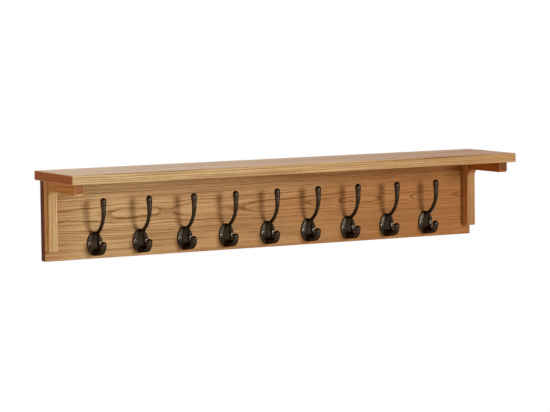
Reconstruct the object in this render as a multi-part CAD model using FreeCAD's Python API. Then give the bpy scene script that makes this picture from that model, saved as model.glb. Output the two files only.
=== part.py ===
"""Oak coat rack: a shelf on two L-shaped brackets over a back board with nine cast iron double hooks.

Millimetres. The origin is the centre of the back board's rear face, which lies on the wall.
+X runs along the rack to the right as seen from the front, +Y goes into the wall, +Z is up.
Small rounds that repeat many times, the hooks' bars, screws and dowels, are drawn with flat sides.
"""
import FreeCAD, Part
import math
import os
from collections import namedtuple

from FreeCAD import Vector

# Back board, stood on edge against the wall
board_length = 966.0
board_height = 157.0
board_thickness = 18.0
board_arris = 1.0

# Shelf, laid on the top edge of the back board and on the arms of the brackets
shelf_depth = 174.0
shelf_thickness = 18.0
shelf_overhang = 11.5
shelf_arris = 1.2

# Brackets, each a leg on the board, glued up with an arm under the shelf and then shaped as one
bracket_thickness = 18.0
bracket_leg_depth = 20.5
bracket_leg_lift = 19.0
bracket_arm_height = 21.0
bracket_arm_setback = 15.5
bracket_inner_radius = 16.0
bracket_joint_step = 2.0
bracket_end_radius = 5.0
bracket_arris = 0.8

# Hooks, by their places along the board as shares of its length from the left end
hook_place_shares = (0.1083, 0.2099, 0.3106, 0.4062, 0.5028, 0.5993, 0.6950, 0.7901, 0.8863)
hook_centre_height = 29.2

# Hook plate, an oval of four arcs
plate_width = 33.4
plate_height = 47.0
plate_end_share = 0.71
plate_rim = 2.4
plate_crown = 3.8
plate_arc_sides = 6

# Crown of the plate: shares of its rise, of the plate's width and of the plate's height
crown_shares = (
    (0.0, 1.0, 1.0),
    (1.0, 0.1, 0.5),
)

# Prongs, each with a straight root, a bend, a stem and a rounded tip
Prong = namedtuple("Prong", "root_height slope bend_radius bend_girth stem_girth reach rise lean tip_girth")
upper_prong = Prong(
    root_height=13.0,
    slope=31.0,
    bend_radius=49.0,
    bend_girth=6.4,
    stem_girth=9.2,
    reach=43.2,
    rise=85.2,
    lean=-2.0,
    tip_girth=11.2,
)
lower_prong = Prong(
    root_height=-16.5,
    slope=4.0,
    bend_radius=12.2,
    bend_girth=11.2,
    stem_girth=11.6,
    reach=40.2,
    rise=0.6,
    lean=0.0,
    tip_girth=12.6,
)
bend_step = 25.0

# Spine, which bows from the upper prong down the plate and out into the root of the lower one
spine_width = 14.0
spine_height = 13.2
spine_upper_bow = 20.0
spine_lower_bow = 15.0
spine_lower_reach = 15.0

# Sections of the spine: shares of its way, of its width and of its height
spine_shares = (
    (0.25, 0.71, 0.79),
    (0.5, 0.89, 1.0),
    (0.75, 1.0, 1.0),
    (1.0, 0.94, 0.85),
)

# Rounded tip: shares of the tip's radius beyond the stem, and of its girth
tip_shares = (
    (0.0, 1.0),
    (0.55, 0.84),
    (0.96, 0.34),
)

# Flat sides of the small rounds
hook_sides = 10
fastener_sides = 8

# Countersunk wood screws
Screw = namedtuple("Screw", "length shank head crown")
hook_screw = Screw(length=15.0, shank=3.6, head=7.2, crown=0.9)
hanger_screw = Screw(length=12.0, shank=3.0, head=5.8, crown=0.3)
bracket_screw = Screw(length=32.0, shank=4.0, head=8.0, crown=0.3)
screw_crown_share = 0.6
screw_taper_share = 1.3
screw_point_share = 0.1

# Hook screws, two to a hook, side by side on the crown of the plate
hook_screw_spacing = 23.6
hook_screw_seat = 3.8

# Bracket screws, driven from behind through the board into the legs
bracket_screw_inset = 24.0
bracket_screw_sink = 0.8

# Keyhole hanger plates, let in flush to the back of the board
hanger_inset = 103.0
hanger_drop = 39.0
hanger_height = 46.0
hanger_width = 20.0
hanger_thickness = 2.0
hanger_screw_spacing = 34.0
hanger_screw_sink = 0.5
keyhole_entry = 9.0
keyhole_slot = 4.5
keyhole_travel = 7.0
keyhole_relief = 7.0
keyhole_relief_margin = 1.0

# Dowels, glued with one end into the shelf or a leg and with the longer end into the board or an arm
dowel_diameter = 8.0
dowel_length = 25.0
dowel_short_end = 11.0
dowel_chamfer = 0.8
board_dowel_count = 5
board_dowel_inset = 60.0
arm_dowel_inset = 22.0
arm_dowel_back_inset = 34.0

# Clearances, the one overrun of all cuts, and how far out of plane a flat face may be
hole_clearance = 0.1
hole_end_clearance = 0.5
recess_clearance = 0.1
cut_overrun = 4.0
flatness = 0.00001

# Levels and ends that several pieces share
board_bottom = -board_height / 2
board_top = board_height / 2
board_end = board_length / 2
board_front = -board_thickness
leg_front = board_front - bracket_leg_depth
leg_bottom = board_bottom + bracket_leg_lift
arm_front = bracket_arm_setback - shelf_depth
arm_bottom = board_top - bracket_arm_height
arm_joint = leg_front - bracket_joint_step
bracket_inside = board_end - bracket_thickness
bracket_middle = board_end - bracket_thickness / 2

EAST = Vector(1, 0, 0)
OUTWARD = Vector(0, -1, 0)
INWARD = Vector(0, 1, 0)
UP = Vector(0, 0, 1)


# Shared shapes

def block(low, high):
    """A box between two corners."""
    size = high - low
    return Part.makeBox(size.x, size.y, size.z, low)


def flat(corners):
    """The flat face within some corners."""
    return Part.Face(Part.makePolygon(corners + corners[:1]))


def flat_sided(rings):
    """A solid with flat faces through rings of as many corners, two to a side that is twisted."""
    faces = [flat(rings[0]), flat(rings[-1])]
    for near, far in zip(rings, rings[1:]):
        for index in range(len(near)):
            a, b, c, d = near[index - 1], near[index], far[index], far[index - 1]
            in_plane = abs((b - a).cross(c - a).normalize() * (d - a)) < flatness
            faces += [flat([a, b, c, d])] if in_plane else [flat([a, b, c]), flat([a, c, d])]
    return Part.Solid(Part.Shell(faces))


def ring(centre, direction, girth, sides, height=None):
    """The corners of a small round square to a direction, with its girth along X and its height across its flats."""
    side = EAST * (girth / 2 / math.cos(math.pi / sides))
    top = direction.cross(EAST) * ((height or girth) / 2 / math.cos(math.pi / sides))
    turns = [math.pi * (2 * index + 1) / sides for index in range(sides)]
    return [centre + side * math.cos(turn) + top * math.sin(turn) for turn in turns]


def spindle(foot, direction, girths):
    """A straight bar along a direction, with its girth given at distances from its foot."""
    return flat_sided([
        ring(foot + direction * along, direction, girth, fastener_sides)
        for along, girth in girths
    ])


def mirrored(shape):
    """The same piece at the other end of the rack."""
    return shape.mirror(Vector(), EAST)


def lies_in(edge, axis, level):
    """Whether the whole edge lies in the plane where a coordinate has the given level."""
    low, high = getattr(edge.BoundBox, axis + "Min"), getattr(edge.BoundBox, axis + "Max")
    return max(abs(low - level), abs(high - level)) < hole_clearance


def slot(radius, low, high, start, depth):
    """An upright slot with round ends, from a level along Y towards the front."""
    box = block(Vector(low.x - radius, start - depth, low.z), Vector(low.x + radius, start, high.z))
    ends = [Part.makeCylinder(radius, depth, Vector(end.x, start, end.z), OUTWARD) for end in (low, high)]
    return box.fuse(ends).removeSplitter()


# Screws and dowels

def screw(size, rim, direction):
    """A screw driven along a direction, with the rim of its head round a point."""
    return spindle(rim, direction, [
        (-size.crown, size.head * screw_crown_share),
        (0, size.head),
        ((size.head - size.shank) / 2, size.shank),
        (size.length - size.shank * screw_taper_share, size.shank),
        (size.length, size.shank * screw_point_share),
    ])


def screw_hole(size, rim, direction):
    """What a screw takes out of the pieces that it holds, with its way in."""
    head, shank = size.head + 2 * hole_clearance, size.shank + 2 * hole_clearance
    return spindle(rim, direction, [
        (-cut_overrun, head),
        (0, head),
        ((head - shank) / 2, shank),
        (size.length + hole_end_clearance, shank),
    ])


def dowel(place, direction):
    """A dowel with chamfered ends that crosses a joint at a place, its short end along a direction."""
    low, end = dowel_short_end - dowel_length, dowel_diameter - 2 * dowel_chamfer
    return spindle(place, direction, [
        (low, end),
        (low + dowel_chamfer, dowel_diameter),
        (dowel_short_end - dowel_chamfer, dowel_diameter),
        (dowel_short_end, end),
    ])


def dowel_hole(place, direction):
    """The hole for a dowel in the two pieces that it joins."""
    low, high = dowel_short_end - dowel_length - hole_end_clearance, dowel_short_end + hole_end_clearance
    girth = dowel_diameter + 2 * hole_clearance
    return spindle(place, direction, [(low, girth), (high, girth)])


# Where the fasteners stand

def hook_places():
    """The centre of each hook plate on the front of the board."""
    height = board_bottom + hook_centre_height
    return [Vector((share - 0.5) * board_length, board_front, height) for share in hook_place_shares]


def hook_screw_rims(place):
    """The centres of the rims of one hook's screw heads."""
    middle = place + OUTWARD * hook_screw_seat
    return [middle + EAST * (side * hook_screw_spacing / 2) for side in (-1, 1)]


def bracket_screw_rims():
    """The centres of the rims of the screw heads behind the right-hand leg."""
    heights = (leg_bottom + bracket_screw_inset, arm_bottom - bracket_screw_inset)
    return [Vector(bracket_middle, -bracket_screw_sink, height) for height in heights]


def hanger_centre():
    """The centre of the right-hand keyhole's entry, in the plane of the wall."""
    return Vector(board_end - hanger_inset, 0, board_top - hanger_drop)


def hanger_screw_rims():
    """The centres of the rims of the screw heads in the right-hand hanger plate."""
    middle = hanger_centre() + OUTWARD * hanger_screw_sink
    return [middle + UP * (side * hanger_screw_spacing / 2) for side in (-1, 1)]


def board_dowel_places():
    """Where the dowels cross the joint between the board and the shelf."""
    first = board_dowel_inset - board_end
    pitch = -2 * first / (board_dowel_count - 1)
    return [Vector(first + index * pitch, board_front / 2, board_top) for index in range(board_dowel_count)]


def arm_dowel_places():
    """Where the dowels cross the joint between the right-hand arm and the shelf."""
    depths = (arm_front + arm_dowel_inset, arm_joint - arm_dowel_back_inset)
    return [Vector(bracket_middle, depth, board_top) for depth in depths]


def joint_dowel_place():
    """Where a dowel crosses the joint between the right-hand arm and its leg."""
    return Vector(bracket_middle, arm_joint, (arm_bottom + board_top) / 2)


# Oak

def back_board():
    """The back board with its hanger recesses and the holes for its screws and dowels."""
    board = block(Vector(-board_end, board_front, board_bottom), Vector(board_end, 0, board_top))
    board = board.makeChamfer(board_arris, [edge for edge in board.Edges if not lies_in(edge, "Z", board_top)])
    right = [screw_hole(bracket_screw, rim, OUTWARD) for rim in bracket_screw_rims()]
    right += [screw_hole(hanger_screw, rim, OUTWARD) for rim in hanger_screw_rims()]
    right += hanger_recess()
    cuts = right + [mirrored(cut) for cut in right]
    cuts += [dowel_hole(place, UP) for place in board_dowel_places()]
    for place in hook_places():
        cuts += [screw_hole(hook_screw, rim, INWARD) for rim in hook_screw_rims(place)]
    return board.cut(cuts)


def shelf_board():
    """The shelf with the dowel holes in its underside."""
    end = board_end + shelf_overhang
    shelf = block(Vector(-end, -shelf_depth, board_top), Vector(end, 0, board_top + shelf_thickness))
    shelf = shelf.makeChamfer(shelf_arris, shelf.Edges)
    right = [dowel_hole(place, UP) for place in arm_dowel_places()]
    middle = [dowel_hole(place, UP) for place in board_dowel_places()]
    return shelf.cut(middle + right + [mirrored(hole) for hole in right])


def bracket():
    """The right-hand bracket's leg and arm, with a cove that runs across the joint between them."""
    corners = [
        (board_front, leg_bottom),
        (leg_front, leg_bottom),
        (leg_front, arm_bottom),
        (arm_front, arm_bottom),
        (arm_front, board_top),
        (board_front, board_top),
    ]
    outline = Part.makePolygon([Vector(bracket_inside, y, z) for y, z in corners + corners[:1]])
    body = Part.Face(outline).extrude(EAST * bracket_thickness)

    def across(y, z):
        """The edge that runs along X at a corner of the outline."""
        return [edge for edge in body.Edges if lies_in(edge, "Y", y) and lies_in(edge, "Z", z)]

    body = body.makeFillet(bracket_inner_radius, across(leg_front, arm_bottom))
    body = body.makeFillet(bracket_end_radius, across(leg_front, leg_bottom) + across(arm_front, arm_bottom))
    sides = [edge for edge in body.Edges if lies_in(edge, "X", bracket_inside) or lies_in(edge, "X", board_end)]
    free = [edge for edge in sides if not lies_in(edge, "Y", board_front) and not lies_in(edge, "Z", board_top)]
    body = body.makeChamfer(bracket_arris, free)
    holes = [dowel_hole(place, UP) for place in arm_dowel_places()]
    holes.append(dowel_hole(joint_dowel_place(), INWARD))
    holes += [screw_hole(bracket_screw, rim, OUTWARD) for rim in bracket_screw_rims()]
    body = body.cut(holes)
    over = Vector(cut_overrun, 0, cut_overrun)
    ahead = block(Vector(bracket_inside, arm_front, leg_bottom) - over, Vector(board_end, arm_joint, board_top) + over)
    return body.cut(ahead), body.common(ahead)


# Hooks

def oval_points():
    """Points round the plate's outline, as their distances along X and Z from its centre."""
    side, top = plate_width / 2, plate_height / 2
    end_radius = side * plate_end_share
    end_centre = top - end_radius
    side_radius = (end_centre ** 2 + side ** 2 - end_radius ** 2) / (2 * (side - end_radius))
    side_centre = side_radius - side
    half_side = math.atan2(end_centre, side_centre)
    arcs = [
        (-side_centre, 0, side_radius, -half_side, half_side),
        (0, end_centre, end_radius, half_side, math.pi - half_side),
        (side_centre, 0, side_radius, math.pi - half_side, math.pi + half_side),
        (0, -end_centre, end_radius, math.pi + half_side, 2 * math.pi - half_side),
    ]
    points = []
    for x, z, radius, start, end in arcs:
        turns = [start + (end - start) * index / plate_arc_sides for index in range(plate_arc_sides)]
        points += [(x + radius * math.cos(turn), z + radius * math.sin(turn)) for turn in turns]
    return points


def plate():
    """The oval plate: a rim of even thickness under two slopes that rise towards its middle."""
    rises = [(-plate_rim, 1, 1)] + [(plate_crown * rise, wide, high) for rise, wide, high in crown_shares]
    return flat_sided([
        [Vector(x * wide, -plate_rim - rise, z * high) for x, z in oval_points()]
        for rise, wide, high in rises
    ])


Course = namedtuple("Course", "root rising standing tip bend_start turn")


def course(size):
    """The line of a prong in the plane X = 0: straight from the board at a slope, bent upward, straight to its tip."""
    slope, lean = math.radians(size.slope), math.radians(size.lean)
    rising = Vector(0, -math.cos(slope), math.sin(slope))
    standing = Vector(0, -math.sin(lean), math.cos(lean))
    root, tip = Vector(0, 0, size.root_height), Vector(0, -size.reach, size.rise)
    corner = root + rising * ((tip - root).cross(standing).x / rising.cross(standing).x)
    turn = rising.getAngle(standing)
    bend_start = corner - rising * (size.bend_radius * math.tan(turn / 2))
    return Course(root, rising, standing, tip, bend_start, turn)


def prong_rings(size):
    """The rings of a prong, from the start of its bend to its rounded tip."""
    line = course(size)
    pivot = line.bend_start + line.rising.cross(EAST) * size.bend_radius
    steps = math.ceil(math.degrees(line.turn) / bend_step)
    rings = []
    for index in range(steps + 1):
        swing = FreeCAD.Rotation(EAST, -math.degrees(line.turn) * index / steps)
        centre = pivot + swing.multVec(line.bend_start - pivot)
        girth = size.bend_girth + (size.stem_girth - size.bend_girth) * (index / steps) ** 2
        rings.append(ring(centre, swing.multVec(line.rising), girth, hook_sides))
    for beyond, wide in tip_shares:
        centre = line.tip + line.standing * (beyond * size.tip_girth / 2)
        rings.append(ring(centre, line.standing, wide * size.tip_girth, hook_sides))
    return rings


def bowed(start, start_pull, end_pull, end, share):
    """The place and the direction at a share of the way along a curve that two points pull out of line."""
    rest = 1 - share
    near = start * rest ** 2 + start_pull * (2 * rest * share) + end_pull * share ** 2
    far = start_pull * rest ** 2 + end_pull * (2 * rest * share) + end * share ** 2
    return near * rest + far * share, (far - near).normalize()


def spine_rings():
    """The rings of the spine, from below the upper prong to the root of the lower one."""
    upper, lower = course(upper_prong), course(lower_prong)
    end = lower.root + lower.rising * spine_lower_reach
    start_pull = upper.bend_start - upper.rising * spine_upper_bow
    end_pull = end - lower.rising * spine_lower_bow
    rings = []
    for along, wide, high in spine_shares:
        centre, direction = bowed(upper.bend_start, start_pull, end_pull, end, along)
        rings.append(ring(centre, direction, wide * spine_width, hook_sides, high * spine_height))
    return rings


def bar():
    """The hook's bar in one sweep: from the upper tip down the plate and out to the lower tip."""
    downward = [corners[::-1] for corners in reversed(prong_rings(upper_prong))]
    return flat_sided(downward + spine_rings() + prong_rings(lower_prong))


def hook_casting():
    """One hook, cast in one piece, with the middle of its plate's flat back at the origin."""
    size = Vector(plate_width, plate_width, plate_height)
    behind = block(Vector(-size.x, 0, -size.z), size)
    holes = [screw_hole(hook_screw, rim, INWARD) for rim in hook_screw_rims(Vector())]
    return plate().fuse(bar()).cut([behind] + holes).removeSplitter()


# Hanger plates

def hanger_ends():
    """The centres of the round ends of the right-hand hanger plate."""
    return [hanger_centre() + UP * (side * (hanger_height - hanger_width) / 2) for side in (-1, 1)]


def hanger_recess():
    """The recess for the right-hand hanger plate, and the relief behind its keyhole for a screw head."""
    low, high = hanger_ends()
    recess = slot(hanger_width / 2 + recess_clearance, low, high, cut_overrun, hanger_thickness + cut_overrun)
    entry = hanger_centre()
    radius = keyhole_entry / 2 + keyhole_relief_margin
    return [recess, slot(radius, entry, entry + UP * keyhole_travel, 0, hanger_thickness + keyhole_relief)]


def hanger_plate():
    """The right-hand hanger plate with its keyhole: a round entry below and a slot above it."""
    low, high = hanger_ends()
    entry = hanger_centre()
    depth = hanger_thickness + 2 * cut_overrun
    hole = Part.makeCylinder(keyhole_entry / 2, depth, entry + INWARD * cut_overrun, OUTWARD)
    neck = slot(keyhole_slot / 2, entry, entry + UP * keyhole_travel, cut_overrun, depth)
    cuts = [hole, neck] + [screw_hole(hanger_screw, rim, OUTWARD) for rim in hanger_screw_rims()]
    return slot(hanger_width / 2, low, high, 0, hanger_thickness).cut(cuts)


# The rack

def build_parts():
    """Every piece of the rack by its name."""
    parts = {
        "back_board": back_board(),
        "shelf_board": shelf_board(),
        "board_dowels": Part.makeCompound([dowel(place, UP) for place in board_dowel_places()]),
    }
    leg, arm = bracket()
    right = {
        "bracket": leg,
        "bracket_arm": arm,
        "bracket_screws": Part.makeCompound([screw(bracket_screw, rim, OUTWARD) for rim in bracket_screw_rims()]),
        "bracket_dowels": Part.makeCompound([dowel(place, UP) for place in arm_dowel_places()]),
        "bracket_joint_dowel": dowel(joint_dowel_place(), INWARD),
        "hanger_plate": hanger_plate(),
        "hanger_screws": Part.makeCompound([screw(hanger_screw, rim, OUTWARD) for rim in hanger_screw_rims()]),
    }
    for name, shape in right.items():
        parts[name + "_right"] = shape
        parts[name + "_left"] = mirrored(shape)
    casting = hook_casting()
    for number, place in enumerate(hook_places(), start=1):
        screws = [screw(hook_screw, rim, INWARD) for rim in hook_screw_rims(place)]
        parts[f"hook_{number}"] = casting.translated(place)
        parts[f"hook_screws_{number}"] = Part.makeCompound(screws)
    return parts


def export(parts):
    """Write each piece to its own STEP file."""
    os.makedirs("parts", exist_ok=True)
    for name, shape in parts.items():
        if not shape.isValid():
            raise ValueError(name + " is not a valid shape")
        shape.exportStep(os.path.join("parts", name + ".step"))
        print(name, len(shape.Solids), "solids", round(shape.Volume), "cubic mm")


export(build_parts())
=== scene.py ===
"""Oak coat rack with a shelf over nine cast iron double hooks: its finishes, castings, screws and studio."""

import math
from collections import namedtuple

import bmesh
import bpy
from bpy.props import FloatProperty, FloatVectorProperty, IntProperty, PointerProperty
from mathutils import Matrix, Vector
from mathutils.geometry import interpolate_bezier


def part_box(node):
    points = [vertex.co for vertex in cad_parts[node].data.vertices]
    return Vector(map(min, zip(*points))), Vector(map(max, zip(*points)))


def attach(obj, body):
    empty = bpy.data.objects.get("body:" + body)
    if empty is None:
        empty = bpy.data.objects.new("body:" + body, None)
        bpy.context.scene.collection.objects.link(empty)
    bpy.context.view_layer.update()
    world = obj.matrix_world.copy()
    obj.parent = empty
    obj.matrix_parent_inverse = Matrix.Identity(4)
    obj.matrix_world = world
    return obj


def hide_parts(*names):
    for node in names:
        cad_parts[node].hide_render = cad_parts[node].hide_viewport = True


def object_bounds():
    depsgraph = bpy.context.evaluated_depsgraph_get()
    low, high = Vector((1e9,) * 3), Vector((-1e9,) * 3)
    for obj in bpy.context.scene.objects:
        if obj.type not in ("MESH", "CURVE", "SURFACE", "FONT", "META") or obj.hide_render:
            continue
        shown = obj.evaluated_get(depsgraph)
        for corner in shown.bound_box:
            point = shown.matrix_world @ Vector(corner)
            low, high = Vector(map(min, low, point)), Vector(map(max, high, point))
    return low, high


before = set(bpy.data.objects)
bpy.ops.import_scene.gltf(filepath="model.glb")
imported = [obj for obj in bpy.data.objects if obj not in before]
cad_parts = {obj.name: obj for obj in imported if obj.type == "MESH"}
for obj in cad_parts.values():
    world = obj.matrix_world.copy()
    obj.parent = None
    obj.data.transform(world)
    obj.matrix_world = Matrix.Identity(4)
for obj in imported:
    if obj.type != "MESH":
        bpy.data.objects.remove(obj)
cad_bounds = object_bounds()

bl_info = {
    "name": "Oak Coat Rack",
    "version": (1, 0, 0),
    "blender": (4, 5, 0),
    "location": "3D View > Sidebar > Coat Rack",
    "description": "Finishes an oak coat rack: grain, cast iron hooks, plated screws and a plain studio",
    "category": "Object",
}

HOOK_COUNT = 9
SIDES = ("left", "right")

EAST = Vector((1, 0, 0))
OUTWARD = Vector((0, -1, 0))
INWARD = Vector((0, 1, 0))
UP = Vector((0, 0, 1))


# Sizes read from the fixed frame

def centre_of(node):
    """The middle of a fixed node."""
    low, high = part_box(node)
    return (low + high) / 2


def hook_places():
    """The middle of each hook plate's flat back, on the front of the board."""
    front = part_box("back_board")[0].y
    middles = [centre_of(f"hook_screws_{index}") for index in range(1, HOOK_COUNT + 1)]
    return [Vector((middle.x, front, middle.z)) for middle in middles]


def plate_width():
    """How wide the hook plates are."""
    low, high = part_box("hook_1")
    return high.x - low.x


# Properties that a user would change

def length(name, description, default):
    """A length in metres."""
    return FloatProperty(name=name, description=description, default=default, unit="LENGTH", precision=5)


def angle(name, description, default):
    """An angle, given in degrees."""
    return FloatProperty(name=name, description=description, default=math.radians(default), unit="ROTATION")


def number(name, description, default):
    """A plain number."""
    return FloatProperty(name=name, description=description, default=default, precision=4)


def colour(name, description, default):
    """A colour as the light values of red, green and blue."""
    return FloatVectorProperty(
        name=name, description=description, default=default, size=3, subtype="COLOR", min=0.0, max=1.0,
    )


def point(name, description, default):
    """A point in metres."""
    return FloatVectorProperty(
        name=name, description=description, default=default, size=3, subtype="TRANSLATION", unit="LENGTH",
    )


class RackOak(bpy.types.PropertyGroup):
    """Colours and finish of the oak."""

    pale: colour("Pale wood", "Smooth wood between the pores", (0.60, 0.366, 0.160))
    warm: colour("Warm wood", "Smooth wood towards the right-hand end", (0.357, 0.130, 0.036))
    dark: colour("Dark grain", "Porous wood of each year's ring", (0.20, 0.068, 0.017))
    roughness: number("Roughness", "Roughness of the oiled surface", 0.42)
    easing: length("Easing", "How far the brackets' corners are rounded over", 0.0005)


class RackIron(bpy.types.PropertyGroup):
    """Colours of the cast iron."""

    base: colour("Iron", "Blackened iron", (0.034, 0.0235, 0.0155))
    worn: colour("Worn iron", "Brown iron where hands rub it", (0.066, 0.039, 0.0215))
    roughness: number("Roughness", "Roughness of the blackened surface", 0.36)


class RackHook(bpy.types.PropertyGroup):
    """Sizes of a hook casting."""

    plate_height: length("Plate height", "Height of the oval plate", 0.047)
    plate_rim: length("Plate rim", "Thickness of the plate at its edge", 0.0024)
    plate_crown: length("Plate crown", "Rise of the plate over its edge", 0.0038)
    screw_spacing: length("Screw spacing", "Distance between a hook's two screws", 0.0236)
    screw_seat: length("Screw seat", "Rim of the screw heads in front of the board", 0.0038)
    grid: length("Casting grid", "Grid on which the casting's pieces are melted together", 0.00055)
    smoothing: IntProperty(
        name="Smoothing", description="How often the casting's corners are softened", default=4,
    )


class RackStudio(bpy.types.PropertyGroup):
    """Camera and lights."""

    camera_place: point("Camera", "Place of the camera", (-2.6884, -4.9365, 0.4864))
    yaw: angle("Yaw", "Turn of the camera to the right", 28.848)
    pitch: angle("Pitch", "Tilt of the camera downward", 4.923)
    roll: angle("Roll", "Lean of the camera", 0.709)
    lens: number("Lens", "Focal length in millimetres on a 36 mm wide sensor", 184.56)
    key: number("Key light", "Power in watts of the soft light at the front right", 424.0)
    key_place: point("Key place", "Place of the key light", (1.77, -5.8, 0.9))
    key_colour: colour("Key colour", "Colour of the key light", (0.75, 0.91, 1.0))
    key_width: length("Key width", "Breadth of the key light", 1.75)
    fill: number("Fill light", "Power in watts of the soft light at the left", 92.0)
    fill_place: point("Fill place", "Place of the fill light", (-6.3, -1.7, 0.0))
    fill_colour: colour("Fill colour", "Colour of the fill light", (1.0, 0.60, 0.32))
    fill_width: length("Fill width", "Breadth of the fill light", 3.0)
    overhead: number("Overhead light", "Strength of the light from above", 1.8)
    overhead_course: FloatVectorProperty(
        name="Overhead course", description="Direction in which the light from above shines",
        default=(0.05, -0.35, -1.0), size=3, subtype="DIRECTION",
    )
    overhead_breadth: angle("Overhead breadth", "How broad the light from above looks", 60.0)
    ambient: number("Ambient light", "Strength of the light from all round", 0.10)
    warmth: colour("Ambient colour", "Colour of the light from all round", (1.0, 0.60, 0.32))
    floor_drop: length("Floor", "How far the floor lies below the rack", 1.1)


def settings(group):
    """One of the property groups of this scene."""
    return getattr(bpy.context.scene, group)


# Node trees

def add(tree, kind, inputs=None, **options):
    """A node with its options and inputs set; an input is a value or another node's output."""
    node = tree.nodes.new(kind)
    for name, value in options.items():
        setattr(node, name, value)
    for name, value in (inputs or {}).items():
        if isinstance(value, bpy.types.NodeSocket):
            tree.links.new(value, node.inputs[name])
        else:
            node.inputs[name].default_value = value
    return node


def compute(tree, operation, *values):
    """The result of a Math node."""
    return add(tree, "ShaderNodeMath", dict(enumerate(values)), operation=operation).outputs[0]


def spread(tree, value, low, high, to_low=0.0, to_high=1.0):
    """A value carried smoothly from one range to another and kept inside it."""
    inputs = {"Value": value, "From Min": low, "From Max": high, "To Min": to_low, "To Max": to_high}
    return add(tree, "ShaderNodeMapRange", inputs, interpolation_type="SMOOTHSTEP").outputs[0]


def tint(tree, factor, first, second, blend_type="MIX"):
    """Two colours blended by a factor."""
    node = add(tree, "ShaderNodeMix", {0: factor}, data_type="RGBA", blend_type=blend_type)
    for index, value in ((6, first), (7, second)):
        if isinstance(value, bpy.types.NodeSocket):
            tree.links.new(value, node.inputs[index])
        else:
            node.inputs[index].default_value = (*value, 1.0)
    return node.outputs[2]


def speckle(tree, vector, stretch, detail=2.0, roughness=0.5):
    """Noise from 0 to 1 whose grain is stretched differently along each axis."""
    scaled = add(tree, "ShaderNodeVectorMath", {0: vector, 1: stretch}, operation="MULTIPLY").outputs[0]
    inputs = {"Vector": scaled, "Scale": 1.0, "Detail": detail, "Roughness": roughness}
    return add(tree, "ShaderNodeTexNoise", inputs).outputs["Fac"]


def even(swells):
    """The stretch of a noise with as many swells to a metre along each axis."""
    return (swells, swells, swells)


def axes_of(tree, vector):
    """The parts of a vector along X, Y and Z."""
    return add(tree, "ShaderNodeSeparateXYZ", {0: vector}).outputs


def new_group(name, sockets_in, sockets_out):
    """An empty node group, with its input and output nodes."""
    tree = bpy.data.node_groups.new(name, "ShaderNodeTree")
    for socket, kind in sockets_in:
        tree.interface.new_socket(name=socket, in_out="INPUT", socket_type="NodeSocket" + kind)
    for socket, kind in sockets_out:
        tree.interface.new_socket(name=socket, in_out="OUTPUT", socket_type="NodeSocket" + kind)
    return tree, tree.nodes.new("NodeGroupInput"), tree.nodes.new("NodeGroupOutput")


def fresh_material(name, **values):
    """A new material, its tree, its shader with the plain values set, and the place on the object."""
    material = bpy.data.materials.new(name)
    material.use_nodes = True
    tree = material.node_tree
    shader = tree.nodes["Principled BSDF"]
    for socket, value in values.items():
        shader.inputs[socket.replace("_", " ")].default_value = value
    return material, tree, shader, add(tree, "ShaderNodeTexCoord").outputs["Object"]


# The range in which most of a noise lies
NOISE_RANGE = (0.3, 0.7)


def paint(tree, shader, base):
    """Give a surface its colour."""
    tree.links.new(base, shader.inputs["Base Color"])


def roughen(tree, shader, noise, least, most):
    """Give a surface a roughness that follows a noise."""
    tree.links.new(spread(tree, noise, *NOISE_RANGE, least, most), shader.inputs["Roughness"])


def bump(tree, shader, height, distance, strength):
    """Give a surface relief under its finish."""
    node = add(tree, "ShaderNodeBump", {"Height": height, "Distance": distance, "Strength": strength})
    tree.links.new(node.outputs["Normal"], shader.inputs["Normal"])


def darker(tone, share):
    """A colour at a share of its light."""
    return [share * part for part in tone]


# Oak

# Noises: how many swells a metre has along the grain, and twice across it
SLOW_WANDER = (1.8, 6.0, 6.0)
QUICK_WANDER = (24.0, 26.0, 26.0)
ISLAND_SWELL = (7.5, 4.0, 4.0)
BROAD_STREAKS = (2.5, 55.0, 55.0)
MIDDLE_STREAKS = (5.0, 170.0, 170.0)
FINE_STREAKS = (8.0, 380.0, 380.0)
PORE_DASHES = (55.0, 1700.0, 1700.0)
TONE_DRIFT = (1.1, 7.0, 7.0)

# How much of the streaks is broad, middling and fine
BROAD_SHARE, MIDDLE_SHARE, FINE_SHARE = 0.25, 0.4, 0.35

# Wander of the rings: how far the quick one swings, and how much of both is upward
QUICK_SWING = 0.0034
UPWARD_SHARE = 0.8

# Good and bad years: how often they change in a metre of log, and how many rings that shifts
CHANGES_PER_METRE = 70.0
SHIFTED_RINGS = 2.0

# Porous wood: the parts of a ring in which it begins and ends, and its strength in the palest year
POROUS_START = (0.0, 0.08)
POROUS_END = (0.12, 0.46)
PALEST_YEAR = 0.2

# Pores: the heights of the noise between which one opens, the strengths of the porous wood between which
# they grow to their full strength, and how strong they are outside it
PORE_EDGES = (0.55, 0.68)
PORE_GROWTH = (0.0, 0.5)
STRAY_PORE = 0.30

# A log: its pith in its own Y and Z and its tilt along X, how strongly its rings swell into islands, the
# spacing of its rings and how far they wander
Log = namedtuple("Log", "pith_depth pith_height pith_tilt islands ring_spacing wander")
GRAIN_OUTPUTS = ("Ring", "Streaks", "Pores", "Tone")


def socket_name(field):
    """A field of a log as the name of its socket."""
    return field.replace("_", " ").title()


def sway(tree, place, stretch, detail=2.0):
    """Noise that goes to both sides of 0."""
    return compute(tree, "SUBTRACT", speckle(tree, place, stretch, detail=detail), 0.5)


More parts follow.
